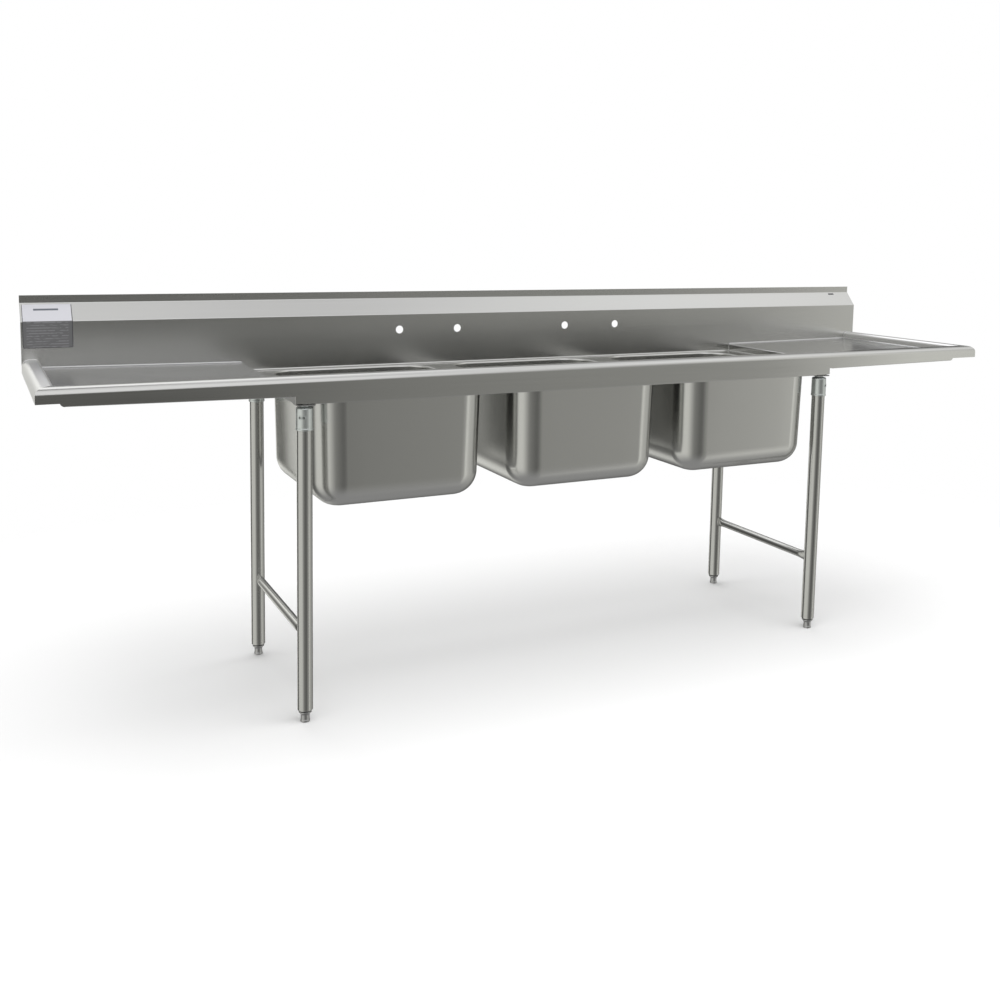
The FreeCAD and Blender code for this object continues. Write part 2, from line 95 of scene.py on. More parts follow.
LEG_R = 0.02065
SOCKET_FIT = 0.0001             # clearance round a leg in its socket
SOCKET_R = 0.023
SOCKET_LIP = 0.0006             # how far the socket's lower lip stands out
SOCKET_LIP_HEIGHT = 0.005
SOCKET_NECK_R = 0.0125
SOCKET_BORE_R = 0.010
SOCKET_TOP_Z = 0.853
PLATE = 0.003
PLATE_CORNER = 0.004
SCREW_Z = 0.828
SCREW_R = 0.003
SCREW_KEY = 0.0015              # half the width of a set screw's six-sided hole
SCREW_KEY_DEPTH = 0.0014
SCREW_ANGLES = (224.0, 250.0)
BOSS_R = 0.0056
BOSS_TAPER = 0.0004
BOSS_STAND = 0.0010
RAIL_R = 0.0127
RAIL_WALL = 0.0015
# A crossrail's pinched end: distance from the leg, and height there as a share of the tube's own.
RAIL_FLARE = ((0.0, 1.34), (0.006, 1.32), (0.014, 1.22), (0.024, 1.08), (0.036, 1.0))

SEAM_WELD_R = 0.0016
RIM_WELD_R = 0.0019
RAIL_WELD_R = 0.0017

FOOT_PAD_R = 0.0128
FOOT_PAD_TOP = 0.0055
FOOT_BODY_R = 0.0118
FOOT_BODY_LOW = 0.0075
FOOT_BODY_TOP = 0.030
FOOT_FLARE = 0.009              # height of the flare and the shoulder above it
FOOT_SHOULDER = 0.003
FOOT_SHOULDER_R = 0.0175
FOOT_STEM_R = 0.006
FOOT_TIP_R = 0.0045
THREAD_PITCH = 0.00175
THREAD_DEPTH = 0.0007

LABEL_CORNER = 0.004
LABEL_EDGE = 0.0016             # width of the dark edge on the left and at the bottom
LABEL_RIGHT_EDGE = 0.0022
RULE_PITCH = 0.0075
RULE_INSETS = (0.010, 0.012)    # the rules' distances from the label's left and right edges
BAR_Z = 1.076
BAR_HEIGHT = 0.005
BAR_INSETS = (0.030, 0.036)
CARD_START = 0.001              # how far above the bend the white card begins

# ---- colours and grain -------------------------------------------------------------------
BRUSHED = (2.0, 170.0, 170.0)   # noise scale of a brushed grain that runs along X
SMUDGES = (2.3, 3.1, 4.7)
GRAIN_DEPTH = 0.00003
GRAIN_DULLING = 0.4             # a grain's swing in roughness, as a share of its relief
SPECK_DEPTH = 0.0001
RULE_SHARE = 0.40               # of the pitch that a printed rule takes up
RULE_BREAKS = (70.0, 1.0, 260.0)
RULE_BREAK_LEVEL = 0.44
WARM = (1.0, 1.0, 0.975)
BLUISH = (0.95, 1.0, 0.99)
RUBBER_TONE = (0.018, 0.018, 0.019, 1)
TAG_TONE = (0.05, 0.05, 0.055, 1)
FILM = (0.150, 0.150, 0.155, 1)
FILM_PRINT = (0.235, 0.235, 0.245, 1)
CARD = (0.50, 0.50, 0.535, 1)
CARD_PRINT = (0.10, 0.11, 0.13, 1)
EDGE_INK = (0.06, 0.06, 0.065, 1)
FLOOR_TONE = (0.92, 0.92, 0.92, 1)

# ---- floor, studio, light and camera -----------------------------------------------------
FLOOR_R = 4.0
FLOOR_STRETCH = 1.45            # how much further the floor reaches along X than along Y
FLOOR_SOLID_R = 0.7
FLOOR_FADED_R = 2.3

# The studio's walls near the horizon: azimuth, 0 in front of the sink and 90 to its right, and
# brightness there.
HORIZON = ((-180, 0.95), (-164, 0.95), (-156, 0.14), (-128, 0.09), (-114, 0.80), (-56, 0.78),
           (-30, 0.26), (0, 0.14), (10, 0.145), (16, 0.23), (20, 0.28), (24, 0.31), (28, 0.335),
           (32, 0.355), (37, 0.365), (42, 0.38), (47, 1.0), (60, 0.60), (100, 0.46), (128, 0.12),
           (158, 0.12), (166, 0.22), (174, 0.45), (180, 0.90))
HAZE = (1.0, 1.0, 0.95)
CEILING = (1.0, 1.0, 1.01, 1)
CEILING_FRONT = (6.0, 20.0)     # elevations at which the ceiling starts and is full, in front
CEILING_ASIDE = (6.0, 62.0)     # the same, away from the front
CEILING_TURN = (10.0, 45.0)     # azimuths between which the one becomes the other
GROUND = (0.34, 0.34, 0.34, 1)
GROUND_EDGE = (-15.0, -70.0)    # elevations at which the ground starts and is full
# Soft places in the studio that are brighter, or darker where the strength is below 0: azimuth,
# elevation, radius of the full part, radius where it ends, strength.
BACK_TOP = (180, 48, 6, 36, 0.6)
FRONT_TOP = (5, 36, 14, 32, 0.12)
SKYLIGHT_GAP = (0, 90, 7, 13, -0.58)
BAND_DIP = (48, 68, 1, 10, -0.25)
BAND_LIFT = (76, 42, 6, 20, 0.22)
DEGREES = 180 / math.pi

FLOOR_LIGHT_PLACE = Vector((0.0, -0.6, 3.6))
FLOOR_LIGHT_LENGTH = 5.0
FLOOR_LIGHT_DEPTH = 4.0
FLOOR_LIGHT_POWER = 105

CAMERA_PLACE = (-1.6647, -2.9585, 1.3142)
CAMERA_YAW = -25.83
CAMERA_PITCH = -6.19
CAMERA_ROLL = 0.89
CAMERA_LENS = 38.96
CAMERA_SHIFT_X = 0.0151
CAMERA_SHIFT_Y = -0.151

# ---- places read from the frame ----------------------------------------------------------
SPLASH_LOW, SPLASH_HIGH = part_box("backsplash")
RIM_LOW, RIM_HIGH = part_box("front_rim")
DECK_LOW, DECK_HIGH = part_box("sink_deck")
APRON_LOW, APRON_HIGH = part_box("apron")
HALF = SPLASH_HIGH.x
FRONT_Y = RIM_LOW.y
RIM_Y = RIM_HIGH.y
RIM_WIDTH = RIM_Y - FRONT_Y
RIM_TOP = RIM_HIGH.z
RIM_BOTTOM = RIM_TOP - RIM_SKIRT
RIM_X = HALF - RIM_WIDTH
SPLASH_Y = SPLASH_LOW.y
WALL_Y = SPLASH_HIGH.y
LIP_Y = WALL_Y - SHEET
TOP_Z = SPLASH_HIGH.z
SECTION = DECK_HIGH.x
BOARD_Z = DECK_HIGH.z
DECK_Z = DECK_LOW.z + SHEET
BOWL_TOP = DECK_Z - OPENING_R
POSITIONS = ("left", "centre", "right")
SIDES = (("left", -1), ("right", 1))
CORNERS = ("front_left", "front_right", "rear_left", "rear_right")


# ---- mesh helpers ------------------------------------------------------------------------
class Shape:
    """Points and faces of one piece, gathered part by part."""

    def __init__(self):
        self.points = []
        self.faces = []

    def row(self, points):
        """Add points and return their numbers."""
        first = len(self.points)
        self.points += [Vector(p) for p in points]
        return list(range(first, len(self.points)))

    def band(self, a, b, closed):
        """Quads between two rows of the same length."""
        count = len(a)
        for i in range(count if closed else count - 1):
            j = (i + 1) % count
            self.faces.append((a[i], a[j], b[j], b[i]))

    def rows(self, rows, closed=True, capped=False):
        """A surface through rows of points, with a face over both ends if it is capped."""
        made = [self.row(points) for points in rows]
        for a, b in zip(made, made[1:]):
            self.band(a, b, closed)
        if capped:
            self.faces.append(tuple(reversed(made[0])))
            self.faces.append(tuple(made[-1]))
        return made

    def fill(self, loops):
        """A flat surface between an outline and the holes in it."""
        flat = bmesh.new()
        for loop in loops:
            corners = [flat.verts.new(p) for p in loop]
            for i, corner in enumerate(corners):
                flat.edges.new((corner, corners[(i + 1) % len(corners)]))
        bmesh.ops.triangle_fill(flat, edges=flat.edges[:], use_beauty=True)
        flat.verts.index_update()
        start = len(self.points)
        self.points += [v.co.copy() for v in flat.verts]
        self.faces += [tuple(start + v.index for v in f.verts) for f in flat.faces]
        flat.free()


def arc(centre, radius, start, end, steps):
    """Points of an arc, with its angles in degrees."""
    angles = [math.radians(start + (end - start) * i / steps) for i in range(steps + 1)]
    return [(centre[0] + radius * math.cos(a), centre[1] + radius * math.sin(a)) for a in angles]


def quarter(steps):
    """Angles that divide a quarter turn evenly, both ends included."""
    return [math.radians(90 * k / steps) for k in range(steps + 1)]


def rounded(points, radii, steps=6, closed=False):
    """A polyline with its corners replaced by arcs."""
    made = []
    count = len(points)
    for i, point in enumerate(points):
        corner = Vector(point)
        radius = radii[i]
        if radius <= 0 or (not closed and i in (0, count - 1)):
            made.append(tuple(corner))
            continue
        back = (Vector(points[i - 1]) - corner).normalized()
        ahead = (Vector(points[(i + 1) % count]) - corner).normalized()
        half = back.angle(ahead) / 2
        centre = corner + (back + ahead).normalized() * (radius / math.sin(half))
        enter = corner + back * (radius / math.tan(half)) - centre
        leave = corner + ahead * (radius / math.tan(half)) - centre
        swing = enter.angle_signed(leave)
        for k in range(steps + 1):
            turned = enter.copy()
            turned.rotate(Matrix.Rotation(-swing * k / steps, 2))
            made.append(tuple(centre + turned))
    return made


def offset(path, distance):
    """The same polyline moved to the right of its direction."""
    moved = []
    for i, point in enumerate(path):
        here = Vector(point)
        before = (here - Vector(path[i - 1])).normalized() if i else None
        after = (Vector(path[i + 1]) - here).normalized() if i < len(path) - 1 else None
        before = before or after
        after = after or before
        normal = Vector((before.y + after.y, -before.x - after.x))
        moved.append(tuple(here + normal * (distance / (1 + before.dot(after)))))
    return moved


def bent_sheet(path, thickness=SHEET):
    """Closed section of a sheet: path is one face and the metal lies to its right."""
    return list(path) + list(reversed(offset(path, thickness)))


def rounded_rectangle(x0, x1, y0, y1, z, radius, corner_steps, side_steps):
    """A level closed row of points, counter-clockwise, with the same count at every size."""
    row = []
    centres = ((x1 - radius, y1 - radius), (x0 + radius, y1 - radius),
               (x0 + radius, y0 + radius), (x1 - radius, y0 + radius))
    for i, centre in enumerate(centres):
        corner = arc(centre, radius, 90 * i, 90 * i + 90, corner_steps)
        ahead = arc(centres[(i + 1) % 4], radius, 90 * i + 90, 90 * i + 180, 1)[0]
        last = corner[-1]
        row += [(x, y, z) for x, y in corner]
        for k in range(1, side_steps):
            share = k / side_steps
            row.append((last[0] + (ahead[0] - last[0]) * share,
                        last[1] + (ahead[1] - last[1]) * share, z))
    return row


def lathe(shape, profile, axis, steps=64):
    """Turn a closed (radius, height) profile; axis maps (across, along, height) to a point."""
    rows = []
    for k in range(steps):
        a = 2 * math.pi * k / steps
        rows.append([axis(r * math.cos(a), r * math.sin(a), h) for r, h in profile])
    made = [shape.row(points) for points in rows]
    for i in range(steps):
        shape.band(made[i], made[(i + 1) % steps], True)


def upright(x, y):
    """Axis that points up from here."""
    return lambda across, along, height: (x + across, y + along, height)


def sideways(x, y, z, angle):
    """Axis that points level, outwards at this angle."""
    cosine = math.cos(angle)
    sine = math.sin(angle)
    return lambda across, along, height: (x + cosine * height - sine * across,
                                          y + sine * height + cosine * across, z + along)


def bead(shape, path, radius, closed=False):
    """A round weld bead that follows 3-D points."""
    steps = 10
    points = [Vector(p) for p in path]
    count = len(points)
    rows = []
    side = None
    for i, point in enumerate(points):
        before = points[i - 1] if i or closed else point
        after = points[(i + 1) % count] if i < count - 1 or closed else point
        ahead = (after - before).normalized()
        if side is None:
            side = ahead.orthogonal().normalized()
        side = (side - ahead * side.dot(ahead)).normalized()
        across = ahead.cross(side)
        rows.append([point + (side * math.cos(a) + across * math.sin(a)) * radius
                     for a in (2 * math.pi * k / steps for k in range(steps))])
    made = shape.rows(rows, capped=not closed)
    if closed:
        shape.band(made[-1], made[0], True)


def piece(shape, name, material, nodes, body="sink", thickness=0.0, facing=None, sharp=32.0):
    """Make the object: faces oriented, bends smooth, folds sharp, riding on its CAD body."""
    mesh = bpy.data.meshes.new(name)
    bm = bmesh.new()
    verts = [bm.verts.new(p) for p in shape.points]
    for face in shape.faces:
        bm.faces.new([verts[i] for i in face])
    bmesh.ops.remove_doubles(bm, verts=bm.verts, dist=1e-6)
    bmesh.ops.dissolve_degenerate(bm, edges=bm.edges, dist=1e-7)
    bmesh.ops.recalc_face_normals(bm, faces=bm.faces)
    if facing is not None and sum(f.normal.dot(facing) * f.calc_area() for f in bm.faces) < 0:
        bmesh.ops.reverse_faces(bm, faces=bm.faces)
    limit = math.radians(sharp)
    for edge in bm.edges:
        edge.smooth = len(edge.link_faces) == 2 and edge.calc_face_angle(0.0) < limit
    for face in bm.faces:
        face.smooth = True
    bm.to_mesh(mesh)
    bm.free()
    made = bpy.data.objects.new(name, mesh)
    bpy.context.scene.collection.objects.link(made)
    if thickness:
        solid = made.modifiers.new("thickness", "SOLIDIFY")
        solid.thickness = thickness
        solid.offset = -1
        solid.use_even_offset = True
    weighted = made.modifiers.new("normals", "WEIGHTED_NORMAL")
    weighted.keep_sharp = True
    mesh.materials.append(material)
    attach(made, body)
    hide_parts(*nodes)


# ---- materials ---------------------------------------------------------------------------
class Tree:
    """A node tree, with short calls for the nodes used here."""

    def __init__(self, tree):
        self.tree = tree

    def feed(self, socket, value):
        """Give a socket a value or another node's output."""
        if isinstance(value, bpy.types.NodeSocket):
            self.tree.links.new(value, socket)
        else:
            socket.default_value = value

    def add(self, kind, inputs=(), **settings):
        node = self.tree.nodes.new(kind)
        for key, value in settings.items():
            setattr(node, key, value)
        for key, value in dict(inputs).items():
            self.feed(node.inputs[key], value)
        return node

    def maths(self, operation, a, b=0.0):
        return self.add("ShaderNodeMath", {0: a, 1: b}, operation=operation).outputs[0]

    def spread(self, value, low, high, out_low, out_high, kind="LINEAR"):
        """Map one range of values onto another, held at both ends."""
        made = self.add("ShaderNodeMapRange", {"Value": value, "From Min": low, "From Max": high,
                                               "To Min": out_low, "To Max": out_high},
                        interpolation_type=kind)
        return made.outputs[0]

    def mix(self, factor, a, b):
        """Blend two colours, each a colour or another node's output."""
        made = self.add("ShaderNodeMix", {"Factor": factor}, data_type="RGBA")
        for socket, value in zip([i for i in made.inputs if i.type == "RGBA"], (a, b)):
            self.feed(socket, value)
        return [o for o in made.outputs if o.type == "RGBA"][0]


class Finish(Tree):
    """A material whose patterns follow the object's own coordinates."""

    def __init__(self, name):
        self.material = bpy.data.materials.new(name)
        self.material.use_nodes = True
        super().__init__(self.material.node_tree)
        self.shader = self.tree.nodes["Principled BSDF"]

    def set(self, name, value):
        """Give one of the shader's sockets a value or another node's output."""
        self.feed(self.shader.inputs[name], value)

    def place(self):
        return self.add("ShaderNodeTexCoord").outputs["Object"]

    def noise(self, scale, detail=3.0):
        """Noise scaled apart along X, Y and Z."""
        spread = self.add("ShaderNodeMapping", {"Vector": self.place(), "Scale": scale})
        made = self.add("ShaderNodeTexNoise", {"Vector": spread.outputs[0], "Scale": 1.0,
                                               "Detail": detail})
        return made.outputs["Fac"]

    def bump(self, height, strength, distance):
        made = self.add("ShaderNodeBump", {"Height": height, "Strength": strength,
                                           "Distance": distance})
        self.set("Normal", made.outputs[0])


def steel(name, tone, rough, grain, streak=0.05, smudge=0.06, relief=0.1, tint=(1.0, 1.0, 1.0)):
    """Brushed or satin steel: fine grain along one direction over soft, broad smudges.

    Grain is the fine noise's scale along X, Y and Z. Streak is how much that noise varies the tone,
    and relief how much it varies the surface and the roughness. Smudge is how much the broad noise
    varies the roughness.
    """
    look = Finish(name)
    fine = look.noise(grain, detail=2.0)
    broad = look.noise(SMUDGES)
    dulling = GRAIN_DULLING * relief
    brushed = look.spread(fine, 0.1, 0.9, -dulling, dulling)
    smudged = look.spread(broad, 0.1, 0.9, -smudge, smudge)
    light = tuple(tone * (1 + streak) * c for c in tint) + (1,)
    dark = tuple(tone * (1 - streak) * c for c in tint) + (1,)
    look.set("Metallic", 1.0)
    look.set("Roughness", look.maths("ADD", look.maths("ADD", brushed, smudged), rough))
    look.set("Base Color", look.mix(look.spread(fine, 0.1, 0.9, 0.0, 1.0), dark, light))
    look.bump(fine, relief, GRAIN_DEPTH)
    return look.material


def speckled(name, tone, scale, rough_low, rough_high, relief):
    """Dull rubber or plastic with a fine speckle."""
    look = Finish(name)
    speck = look.noise((scale, scale, scale))
    look.set("Base Color", tone)
    look.set("Roughness", look.spread(speck, 0.3, 0.7, rough_low, rough_high))
    look.bump(speck, relief, SPECK_DEPTH)
    return look.material


STEEL_SHEET = steel("sheet_stainless", 0.58, 0.17, BRUSHED, streak=0.03, smudge=0.03, tint=WARM)
STEEL_SPLASH = steel("splash_stainless", 0.60, 0.235, BRUSHED, streak=0.012, smudge=0.02, relief=0.04,
                     tint=WARM)
STEEL_BOWL = steel("drawn_stainless", 0.64, 0.225, (150.0, 150.0, 50.0), streak=0.01, smudge=0.03,
                   relief=0.02, tint=WARM)
STEEL_TUBE = steel("tube_stainless", 0.58, 0.18, (200.0, 200.0, 3.0), streak=0.04, tint=WARM)
STEEL_RAIL = steel("rail_stainless", 0.58, 0.18, (200.0, 3.0, 200.0), streak=0.04, tint=WARM)
STEEL_SIDE = steel("side_rim_stainless", 0.84, 0.34, (200.0, 2.0, 200.0), streak=0.03, smudge=0.02)
STEEL_BOARD = steel("drainboard_stainless", 0.55, 0.235, BRUSHED, streak=0.02, smudge=0.02, relief=0.04)
# Dark, rough mill steel for the leg channels and foot inserts; on the socket plates its darkness is also
# painted shade under the apron.
STEEL_MILL_AND_PLATE_SHADE = steel("mill_steel", 0.46, 0.42, (60.0, 8.0, 60.0))
STEEL_POLISHED = steel("polished_stainless", 0.66, 0.14, (120.0, 120.0, 120.0), smudge=0.03)
STEEL_FOOT = steel("foot_steel", 0.50, 0.34, (40.0, 40.0, 300.0), smudge=0.02)
STEEL_DARK = steel("dark_steel", 0.06, 0.38, (200.0, 200.0, 200.0))
STEEL_WELD = steel("weld_stainless", 0.66, 0.24, (240.0, 240.0, 240.0))
ZINC = steel("zinc_plate", 0.76, 0.36, (90.0, 90.0, 60.0), smudge=0.04, tint=BLUISH)
RUBBER = speckled("black_rubber", RUBBER_TONE, 900.0, 0.55, 0.70, relief=0.3)
TAG_PLASTIC = speckled("tag_plastic", TAG_TONE, 500.0, 0.35, 0.5, relief=0.2)


def label_material():
    """White card with a plain bar above the bend, clear film with plain rules below it."""
    look = Finish("label_film")
    place = look.add("ShaderNodeSeparateXYZ", {"Vector": look.place()})
    x = place.outputs["X"]
    z = place.outputs["Z"]
    low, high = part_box("label")

    def both(a, b):
        return look.maths("MULTIPLY", a, b)

    def within(value, start, end):
        return both(look.maths("GREATER_THAN", value, start), look.maths("LESS_THAN", value, end))

    within_pitch = look.maths("FRACT", look.maths("MULTIPLY", z, 1 / RULE_PITCH))
    ruled = look.maths("LESS_THAN", within_pitch, RULE_SHARE)
    broken = look.maths("GREATER_THAN", look.noise(RULE_BREAKS, detail=1.0), RULE_BREAK_LEVEL)
    rules = both(both(ruled, broken), within(x, low.x + RULE_INSETS[0], high.x - RULE_INSETS[1]))
    bar = both(within(z, BAR_Z, BAR_Z + BAR_HEIGHT),
               within(x, low.x + BAR_INSETS[0], high.x - BAR_INSETS[1]))
    above_bend = look.maths("GREATER_THAN", z, SPLASH_BEND_Z + CARD_START)
    printed = look.mix(above_bend, look.mix(rules, FILM, FILM_PRINT), look.mix(bar, CARD, CARD_PRINT))
    inner = both(within(x, low.x + LABEL_EDGE, high.x - LABEL_RIGHT_EDGE),
                 look.maths("GREATER_THAN", z, low.z + LABEL_EDGE))
    look.set("Base Color", look.mix(inner, EDGE_INK, printed))
    look.set("Roughness", 0.30)
    look.bump(look.noise((400.0, 400.0, 400.0)), 0.1, SPECK_DEPTH)
    return look.material


def finish_node(node, material):
    """Give a CAD node its finish."""
    made = frame["nodes"][node]
    made.data.materials.clear()
    made.data.materials.append(material)
    for polygon in made.data.polygons:
        polygon.material_index = 0


# ---- top ---------------------------------------------------------------------------------
def board_z(x):
    """Height of a drainboard's top face."""
    return BOARD_Z + BOARD_FALL * (abs(x) - SECTION) / (RIM_X - SECTION)


def splash():
    """Upright face with four faucet holes, a band that leans back and an upright lip."""
    shape = Shape()
    corners = [(SPLASH_Y, RIM_BOTTOM), (SPLASH_Y, SPLASH_BEND_Z), (LIP_Y, SPLASH_LIP_Z), (LIP_Y, TOP_Z)]
    path = rounded(corners, [0, SPLASH_BEND_R, SPLASH_BEND_R, 0], steps=8)
    face_top = path[1][1]
    outline = [(-HALF, RIM_BOTTOM), (-SECTION, RIM_BOTTOM), (-SECTION, DECK_LOW.z), (SECTION, DECK_LOW.z),
               (SECTION, RIM_BOTTOM), (HALF, RIM_BOTTOM), (HALF, face_top), (-HALF, face_top)]
    loops = [[(x, SPLASH_Y, z) for x, z in outline]]
    for pair in (-FAUCET_PAIR_X, FAUCET_PAIR_X):
        for step in (-FAUCET_SPACING / 2, FAUCET_SPACING / 2):
            hole = arc((pair + step, FAUCET_Z), FAUCET_R, 0, 360, 48)[:-1]
            loops.append([(x, SPLASH_Y, z) for x, z in hole])
    shape.fill(loops)
    shape.rows([[(-HALF, y, z), (HALF, y, z)] for y, z in path[1:]], closed=False)
    piece(shape, "splash_sheet", STEEL_SPLASH, ["backsplash"], thickness=SHEET,
          facing=Vector((0, -1, 0)))


def rim_path(inner_bottom):
    """The rolled rim's outer line, in distance from its outer face and height."""
    corners = [(0, RIM_BOTTOM), (0, RIM_TOP - RIM_CROWN), (RIM_WIDTH, RIM_TOP), (RIM_WIDTH, inner_bottom)]
    return rounded(corners, [0, RIM_R, RIM_INNER_R, 0], steps=12)


def front_rim():
    """Front roll, mitred at both ends; its inner wall reaches down to the pans and the deck."""
    shape = Shape()
    stations = [(-RIM_X, board_z(RIM_X)), (-SECTION - RIM_STEP, board_z(SECTION + RIM_STEP)),
                (-SECTION + RIM_STEP, DECK_LOW.z)]
    stations += [(-x, bottom) for x, bottom in reversed(stations)]
    rows = []
    for x, bottom in stations:
        mitred = abs(x) == RIM_X
        rows.append([(math.copysign(HALF - d, x) if mitred else x, FRONT_Y + d, z)
                     for d, z in bent_sheet(rim_path(bottom))])
    shape.rows(rows, capped=True)
    piece(shape, "front_rim_roll", STEEL_SHEET, ["front_rim"])


def side_rim(side, sign):
    """Side roll from the front roll's mitre to the splash."""
    shape = Shape()
    section = bent_sheet(rim_path(board_z(RIM_X)))
    front = [(sign * (HALF - d), FRONT_Y + d, z) for d, z in section]
    back = [(sign * (HALF - d), SPLASH_Y, z) for d, z in section]
    shape.rows([front, back], capped=True)
    piece(shape, "side_rim_roll_" + side, STEEL_SIDE, ["side_rim_" + side])


def cove(distance):
    """Height of a round inside corner above the flat, at this distance from the wall."""
    if distance >= COVE_R:
        return 0.0
    return COVE_R - math.sqrt(max(COVE_R ** 2 - (COVE_R - distance) ** 2, 0.0))


def drainboard(side, sign):
    """Pitched pan: coved on three sides, folded to drain, bent down to the deck."""
    depth = SPLASH_Y - RIM_Y
    bend_x = SECTION - SHEET + EDGE_R
    near = [COVE_R * (1 - math.sin(a)) for a in reversed(quarter(7))]
    spans = 28
    inner = [near[-1] + (RIM_X - bend_x - near[-1]) * k / spans for k in range(1, spans + 1)]
    xs = [RIM_X - d for d in near + inner]
    ys = near + [near[-1] + (depth - 2 * near[-1]) * k / spans for k in range(1, spans)]
    ys += [depth - d for d in reversed(near)]
    rows = []
    for x in xs:
        row = []
        for y in ys:
            from_end = RIM_X - x
            across = abs(2 * y / depth - 1)
            fold = max(across, 1 - from_end / (depth / 2))
            round_up = max(cove(from_end), cove(y), cove(depth - y))
            row.append((sign * x, RIM_Y + y, board_z(x) + round_up - CREASE * (1 - fold)))
        rows.append(row)
    level_end = rows[-1]
    for a in quarter(6)[1:]:
        drop = EDGE_R * (1 - math.cos(a))
        x = bend_x - EDGE_R * math.sin(a)
        rows.append([(sign * x, y, z - drop) for _, y, z in level_end])
    shape = Shape()
    shape.rows(rows, closed=False)
    piece(shape, "drainboard_pan_" + side, STEEL_BOARD, ["drainboard_" + side],
          thickness=SHEET, facing=Vector((0, 0, 1)))


def bowl_box(position):
    """The inside of a bowl at its top: both ends along X and Y, and the floor's height."""
    low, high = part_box("bowl_" + position)
    return low.x + SHEET, high.x - SHEET, low.y + SHEET, high.y - SHEET, low.z + SHEET


def deck():
    """Level pan round the bowls: coved up to the rim and splash, risers at both ends."""
    shape = Shape()
    end = SECTION - SHEET

    def outline(inset, z):
        return [(-end + inset, RIM_Y + inset, z), (end - inset, RIM_Y + inset, z),
                (end - inset, SPLASH_Y - inset, z), (-end + inset, SPLASH_Y - inset, z)]

    loops = [outline(COVE_R, DECK_Z)]
    for position in POSITIONS:
        x0, x1, y0, y1, _ = bowl_box(position)
        radius = BOWL_CORNER - SHEET
        rings = []
        for a in quarter(6):
            out = OPENING_R * (1 - math.sin(a))
            z = BOWL_TOP + OPENING_R * math.cos(a)
            rings.append(rounded_rectangle(x0 - out, x1 + out, y0 - out, y1 + out, z, radius + out,
                                           CORNER_STEPS, SIDE_STEPS))
        loops.append(rings[0])
        shape.rows(rings)
    shape.fill(loops)
    shape.rows([outline(COVE_R * (1 - math.sin(a)), DECK_Z + COVE_R * (1 - math.cos(a)))
                for a in quarter(7)])
    for sign in (-1, 1):
        shape.rows([[(sign * end, RIM_Y, z), (sign * end, SPLASH_Y, z)]
                    for z in (DECK_Z + COVE_R, BOARD_Z - EDGE_R)], closed=False)
    piece(shape, "deck_pan", STEEL_SHEET, ["sink_deck"], thickness=SHEET,
          facing=Vector((0, 0, 1)))


def corner_welds():
    """Ground welds up the deck's inside corners, and over each side rim's end at the splash."""
    shape = Shape()
    stand = 0.0006                  # of a seam's middle from both walls
    bury = 0.0005                   # of the arch's middle under the rim's outer face
    arch_y = SPLASH_Y - 0.0012
    arch_edge = 0.002               # keeps the arch inside the sink's ends
    arch = [(d, z) for d, z in offset(rim_path(board_z(RIM_X)), bury) if z > RIM_BOTTOM]
    for sign in (-1, 1):
        x = sign * (SECTION - SHEET - stand)
        for y in (RIM_Y + stand, SPLASH_Y - stand):
            bead(shape, [(x, y, DECK_Z + COVE_R / 2), (x, y, BOARD_Z + 0.003)], SEAM_WELD_R)
        bead(shape, [(sign * (HALF - max(d, arch_edge)), arch_y, z) for d, z in arch], RIM_WELD_R)
    piece(shape, "corner_welds", STEEL_WELD, [])


def folded_web(y, top, bottom):
    """Section of a stiffener: upright web, and a flange folded back at the bottom."""
    path = rounded([(y, top), (y, bottom), (y + SHEET + FLANGE, bottom)], [0, FOLD_R, 0])
    return bent_sheet(path, -SHEET)


def flat_web(y, top, bottom):
    """Section of a stiffener without its flange."""
    return [(y, bottom), (y, top), (y + SHEET, top), (y + SHEET, bottom)]


def apron():
    """Stiffener under the deck's front: web, fold and flange, with a plain tab at each end."""
    shape = Shape()
    y = APRON_LOW.y
    inner = APRON_HIGH.x - APRON_TAB
    section = folded_web(y, APRON_HIGH.z, APRON_LOW.z)
    shape.rows([[(x, a, z) for a, z in section] for x in (-inner, inner)], capped=True)
    tab = flat_web(y, APRON_HIGH.z, APRON_LOW.z + APRON_LIFT)
    for sign in (-1, 1):
        shape.rows([[(sign * x, a, z) for a, z in tab] for x in (inner, APRON_HIGH.x)], capped=True)
    piece(shape, "apron_channel", STEEL_SHEET, ["apron"])


def drainboard_channel(side, sign):
    """Stiffener under a drainboard's front, with a rounded outer foot."""
    shape = Shape()
    low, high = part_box("drainboard_channel_" + side)
    outer = max(abs(low.x), abs(high.x))
    y = low.y
    rows = []
    for x in (SECTION, outer - CHANNEL_CORNER):
        section = folded_web(y, board_z(x) - CHANNEL_GAP, board_z(x) - CHANNEL_DROP)
        rows.append([(sign * x, a, z) for a, z in section])
    shape.rows(rows, capped=True)
    rows = []
    for a in quarter(8):
        x = outer - CHANNEL_CORNER * (1 - math.sin(a))
        bottom = board_z(x) - CHANNEL_DROP + CHANNEL_CORNER * (1 - math.cos(a))
        rows.append([(sign * x, b, z) for b, z in flat_web(y, board_z(x) - CHANNEL_GAP, bottom)])
    shape.rows(rows, capped=True)
    piece(shape, "board_stiffener_" + side, STEEL_SHEET, ["drainboard_channel_" + side])


